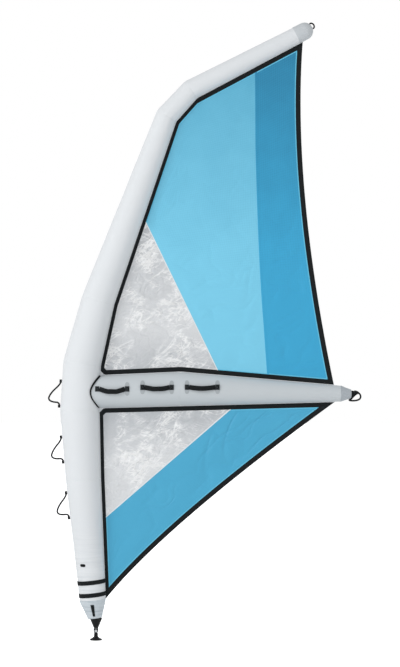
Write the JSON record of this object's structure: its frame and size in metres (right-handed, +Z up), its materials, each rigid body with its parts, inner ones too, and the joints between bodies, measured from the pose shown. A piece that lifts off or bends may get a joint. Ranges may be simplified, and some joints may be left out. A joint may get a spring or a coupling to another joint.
{
  "type": "windsurf sail rig",
  "caption": "Inflatable windsurf rig: air-tube mast and boom, film window and blue cloth sail above and below the boom, webbing grips, luff loops and a jointed swivelling foot.",
  "frame": {"origin": "middle of the underside of the foot disc, on the axis of its deck thread", "axes": "+X from luff to clew, +Y to starboard (across the sail), +Z up along the mast"},
  "size_m": [1.624, 0.2162, 3.1989],
  "materials": {
    "sleeve_cloth": "matte",
    "boom_cloth": "matte",
    "bladder_film": "satin",
    "cone_cloth": "matte",
    "cap_cloth": "matte",
    "black_webbing": "matte",
    "black_cord": "matte",
    "black_piping": "satin",
    "hose_silicone": "satin",
    "window_film": "gloss",
    "light_blue_cloth": "satin",
    "deep_blue_cloth": "satin",
    "mid_blue_cloth": "satin",
    "black_nylon": "matte",
    "link_polyurethane": "matte",
    "white_acetal": "satin",
    "steel": "satin",
    "valve_plastic": "matte",
    "valve_plunger_plastic": "satin",
    "edge_tape": "matte",
    "patch_cloth": "matte"
  },
  "bodies": {
    "rig": {"mast_sleeve": "sleeve_cloth", "mast_bladder": "bladder_film", "foot_cone_cover": "cone_cloth", "head_cap": "cap_cloth", "head_loop": "black_webbing", "boom_sleeve": "boom_cloth", "boom_bladder": "bladder_film", "boom_root_piping": "black_piping", "clew_cap": "cap_cloth", "clew_tab": "black_webbing", "clew_loop": "black_cord", "transfer_hose": "hose_silicone", "upper_window": "window_film", "upper_main_panel": "light_blue_cloth", "upper_leech_panel": "deep_blue_cloth", "upper_luff_tape": "edge_tape", "upper_leech_tape": "edge_tape", "upper_foot_tape": "edge_tape", "lower_window": "window_film", "lower_main_panel": "mid_blue_cloth", "lower_luff_tape": "edge_tape", "lower_leech_tape": "edge_tape", "lower_boom_tape": "edge_tape", "port_grip_ends": "black_webbing", "starboard_grip_ends": "black_webbing", "port_grip_patches": "patch_cloth", "starboard_grip_patches": "patch_cloth", "luff_loop_tabs": "black_webbing", "tack_band_upper": "black_webbing", "tack_band_lower": "black_webbing", "port_foot_strap": "black_webbing", "starboard_foot_strap": "black_webbing", "keeper_tab": "black_webbing", "mast_cup": "black_nylon", "valve_base": "valve_plastic", "valve_cap_pin": "steel"},
    "swivel": {"swivel_yoke": "black_nylon", "swivel_nut": "steel", "thrust_washer": "white_acetal", "hinge_bolt": "steel", "hinge_nut": "steel"},
    "link": {"cross_link": "link_polyurethane"},
    "deck_plate": {"deck_disc": "black_nylon", "deck_insert": "steel", "lower_hinge_pin": "steel"},
    "valve_plunger_body": {"valve_plunger": "valve_plunger_plastic"},
    "valve_cap_body": {"valve_cap": "valve_plastic"},
    "upper_loop": {"upper_luff_loop": "black_cord"},
    "middle_loop": {"middle_luff_loop": "black_cord"},
    "lower_loop": {"lower_luff_loop": "black_cord"},
    "port_inner_grip_body": {"port_inner_grip": "black_webbing"},
    "port_middle_grip_body": {"port_middle_grip": "black_webbing"},
    "port_outer_grip_body": {"port_outer_grip": "black_webbing"},
    "starboard_inner_grip_body": {"starboard_inner_grip": "black_webbing"},
    "starboard_middle_grip_body": {"starboard_middle_grip": "black_webbing"},
    "starboard_outer_grip_body": {"starboard_outer_grip": "black_webbing"}
  },
  "joints": [
    {"name": "foot_swivel", "type": "hinge", "parent": "rig", "child": "swivel", "pos_m": [0, 0, 0.08], "axis": [0, 0, 1], "continuous": true},
    {"name": "foot_tilt_fore_aft", "type": "hinge", "parent": "swivel", "child": "link", "pos_m": [0, 0, 0.048], "axis": [0, 1, 0], "range_deg": [-75, 75]},
    {"name": "foot_tilt_sideways", "type": "hinge", "parent": "link", "child": "deck_plate", "pos_m": [0, 0, 0.028], "axis": [1, 0, 0], "range_deg": [-65, 65]},
    {"name": "valve_plunger_press", "type": "slide", "parent": "rig", "child": "valve_plunger_body", "axis": [0, -1, 0], "range_m": [0, 0.004], "stiffness_N_per_m": 250},
    {"name": "valve_cap_hinge", "type": "hinge", "parent": "rig", "child": "valve_cap_body", "pos_m": [-0.04472, 0.08768, 0.5785], "axis": [1, 0, 0], "range_deg": [0, 110]},
    {"name": "upper_loop_swing", "type": "hinge", "parent": "rig", "child": "upper_loop", "pos_m": [-0.18272, 0, 1.342], "axis": [0.0642, 0, 0.9979], "range_deg": [-80, 80], "stiffness_Nm_per_rad": 0.01},
    {"name": "middle_loop_swing", "type": "hinge", "parent": "rig", "child": "middle_loop", "pos_m": [-0.18159, 0, 1.052], "axis": [-0.0825, 0, 0.9966], "range_deg": [-80, 80], "stiffness_Nm_per_rad": 0.01},
    {"name": "lower_loop_swing", "type": "hinge", "parent": "rig", "child": "lower_loop", "pos_m": [-0.1556, 0, 0.763], "axis": [-0.1163, 0, 0.9932], "range_deg": [-80, 80], "stiffness_Nm_per_rad": 0.01},
    {"name": "port_inner_grip_swing", "type": "hinge", "parent": "rig", "child": "port_inner_grip_body", "pos_m": [0.0213, -0.08528, 1.31534], "axis": [-1, 0.0087, 0], "range_deg": [0, 60]},
    {"name": "port_middle_grip_swing", "type": "hinge", "parent": "rig", "child": "port_middle_grip_body", "pos_m": [0.2543, -0.0873, 1.3234], "axis": [-1, 0.0087, 0], "range_deg": [0, 60]},
    {"name": "port_outer_grip_swing", "type": "hinge", "parent": "rig", "child": "port_outer_grip_body", "pos_m": [0.4833, -0.08639, 1.32429], "axis": [-0.9984, -0.056, 0], "range_deg": [0, 60]},
    {"name": "starboard_inner_grip_swing", "type": "hinge", "parent": "rig", "child": "starboard_inner_grip_body", "pos_m": [0.0213, 0.08528, 1.31534], "axis": [1, 0.0087, 0], "range_deg": [0, 60]},
    {"name": "starboard_middle_grip_swing", "type": "hinge", "parent": "rig", "child": "starboard_middle_grip_body", "pos_m": [0.2543, 0.0873, 1.3234], "axis": [1, 0.0087, 0], "range_deg": [0, 60]},
    {"name": "starboard_outer_grip_swing", "type": "hinge", "parent": "rig", "child": "starboard_outer_grip_body", "pos_m": [0.4833, 0.08639, 1.32429], "axis": [0.9984, -0.056, 0], "range_deg": [0, 60]}
  ]
}
